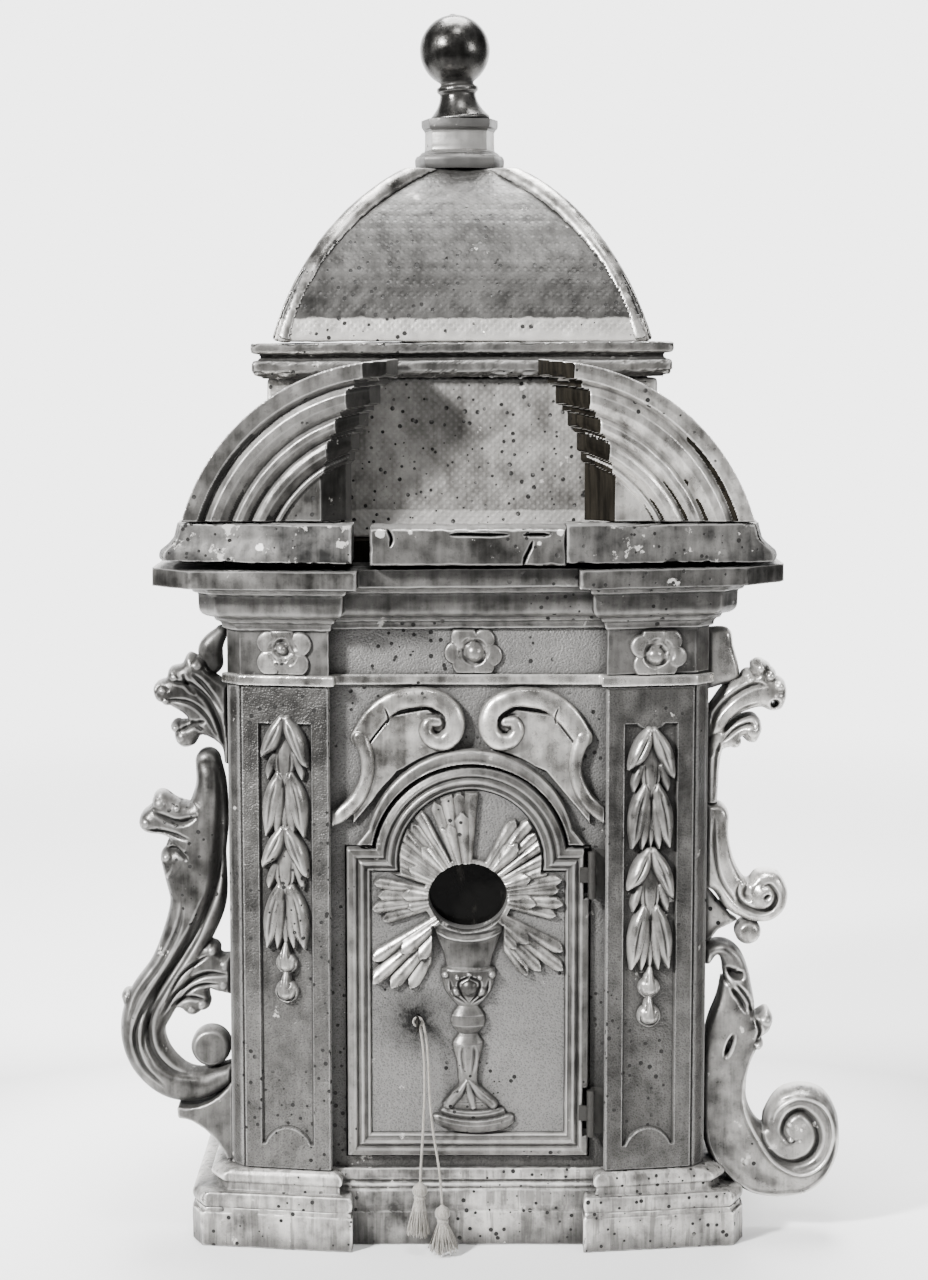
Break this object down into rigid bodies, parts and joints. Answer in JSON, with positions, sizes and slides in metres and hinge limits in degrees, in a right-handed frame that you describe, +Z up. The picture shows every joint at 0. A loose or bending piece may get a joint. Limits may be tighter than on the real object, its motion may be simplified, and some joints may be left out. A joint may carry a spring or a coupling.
{
  "type": "altar tabernacle",
  "caption": "Baroque altar tabernacle: carved, leafed wood cabinet with a hinged locking door and a lift-off domed crown.",
  "frame": {"origin": "middle of the underside, on the surface that the tabernacle stands on", "axes": "+X to the viewer's right, +Y to the back, +Z up, with the door facing -Y"},
  "size_m": [0.561, 0.345, 0.9456],
  "materials": {
    "leafed_wood": "worn metal leaf over gesso on carved softwood",
    "bare_wood": "plain aged softwood boards",
    "iron": "dark forged iron",
    "glass": "old dark pane",
    "silk": "twisted silk cord and combed threads"
  },
  "bodies": {
    "cabinet": {"archivolt": "leafed_wood", "astragal": "leafed_wood", "back_panel": "bare_wood", "base_board": "bare_wood", "c_scroll_left": "leafed_wood", "c_scroll_right": "leafed_wood", "cornice_centre": "leafed_wood", "cornice_left": "leafed_wood", "cornice_right": "leafed_wood", "festoon_left": "leafed_wood", "festoon_right": "leafed_wood", "floor_board": "bare_wood", "front_board": "leafed_wood", "hinge_leaves_frame": "iron", "hinge_pins": "iron", "leaf_scroll_left": "leafed_wood", "leaf_scroll_right": "leafed_wood", "pedestal_left": "leafed_wood", "pedestal_right": "leafed_wood", "pilaster_left": "leafed_wood", "pilaster_right": "leafed_wood", "plinth_centre": "leafed_wood", "rosettes": "leafed_wood", "s_scroll_left": "leafed_wood", "scroll_bracket_left": "leafed_wood", "side_panel_left": "bare_wood", "side_panel_right": "bare_wood", "top_board": "leafed_wood", "volute_lower_right": "leafed_wood", "volute_middle_right": "leafed_wood"},
    "door": {"door_panel": "leafed_wood", "door_frame": "leafed_wood", "chalice": "leafed_wood", "sun_rays": "leafed_wood", "oculus_glass": "glass", "glass_retainer": "bare_wood", "lock_case": "iron", "hinge_leaves_door": "iron"},
    "key": {"key": "iron"},
    "lock_bolt": {"lock_bolt": "iron"},
    "tassels": {"cord_hitch": "silk", "cord_tail_left": "silk", "cord_tail_right": "silk", "tassel_left": "silk", "tassel_right": "silk"},
    "crown": {"crown_board": "bare_wood", "crown_dowels": "bare_wood", "crown_fascia_left": "leafed_wood", "crown_fascia_right": "leafed_wood", "crown_fascia_centre": "leafed_wood", "pediment_left": "leafed_wood", "pediment_right": "leafed_wood", "drum": "leafed_wood", "dome_cornice": "leafed_wood", "dome_front": "leafed_wood", "dome_back": "bare_wood", "dome_sides": "leafed_wood", "dome_ribs": "leafed_wood", "finial_pedestal": "leafed_wood", "finial": "leafed_wood"}
  },
  "joints": [
    {"name": "door_hinge", "type": "hinge", "parent": "cabinet", "child": "door", "pos_m": [0.0935, -0.155, 0.2], "axis": [0, 0, 1], "range_deg": [0, 105]},
    {"name": "key_turn", "type": "hinge", "parent": "door", "child": "key", "pos_m": [-0.038, -0.145, 0.178], "axis": [0, 1, 0], "range_deg": [0, 90]},
    {"name": "bolt_slide", "type": "slide", "parent": "door", "child": "lock_bolt", "axis": [-1, 0, 0], "range_m": [0, 0.012]},
    {"name": "tassel_swing", "type": "hinge", "parent": "door", "child": "tassels", "pos_m": [-0.038, -0.16, 0.178], "axis": [0, 1, 0], "range_deg": [-12, 12]},
    {"name": "crown_lift", "type": "slide", "parent": "cabinet", "child": "crown", "axis": [0, 0, 1], "range_m": [0, 0.06]}
  ],
  "couplings": [
    {"joint": "key_turn", "follows": "bolt_slide", "rad_per_m": 130.9}
  ]
}
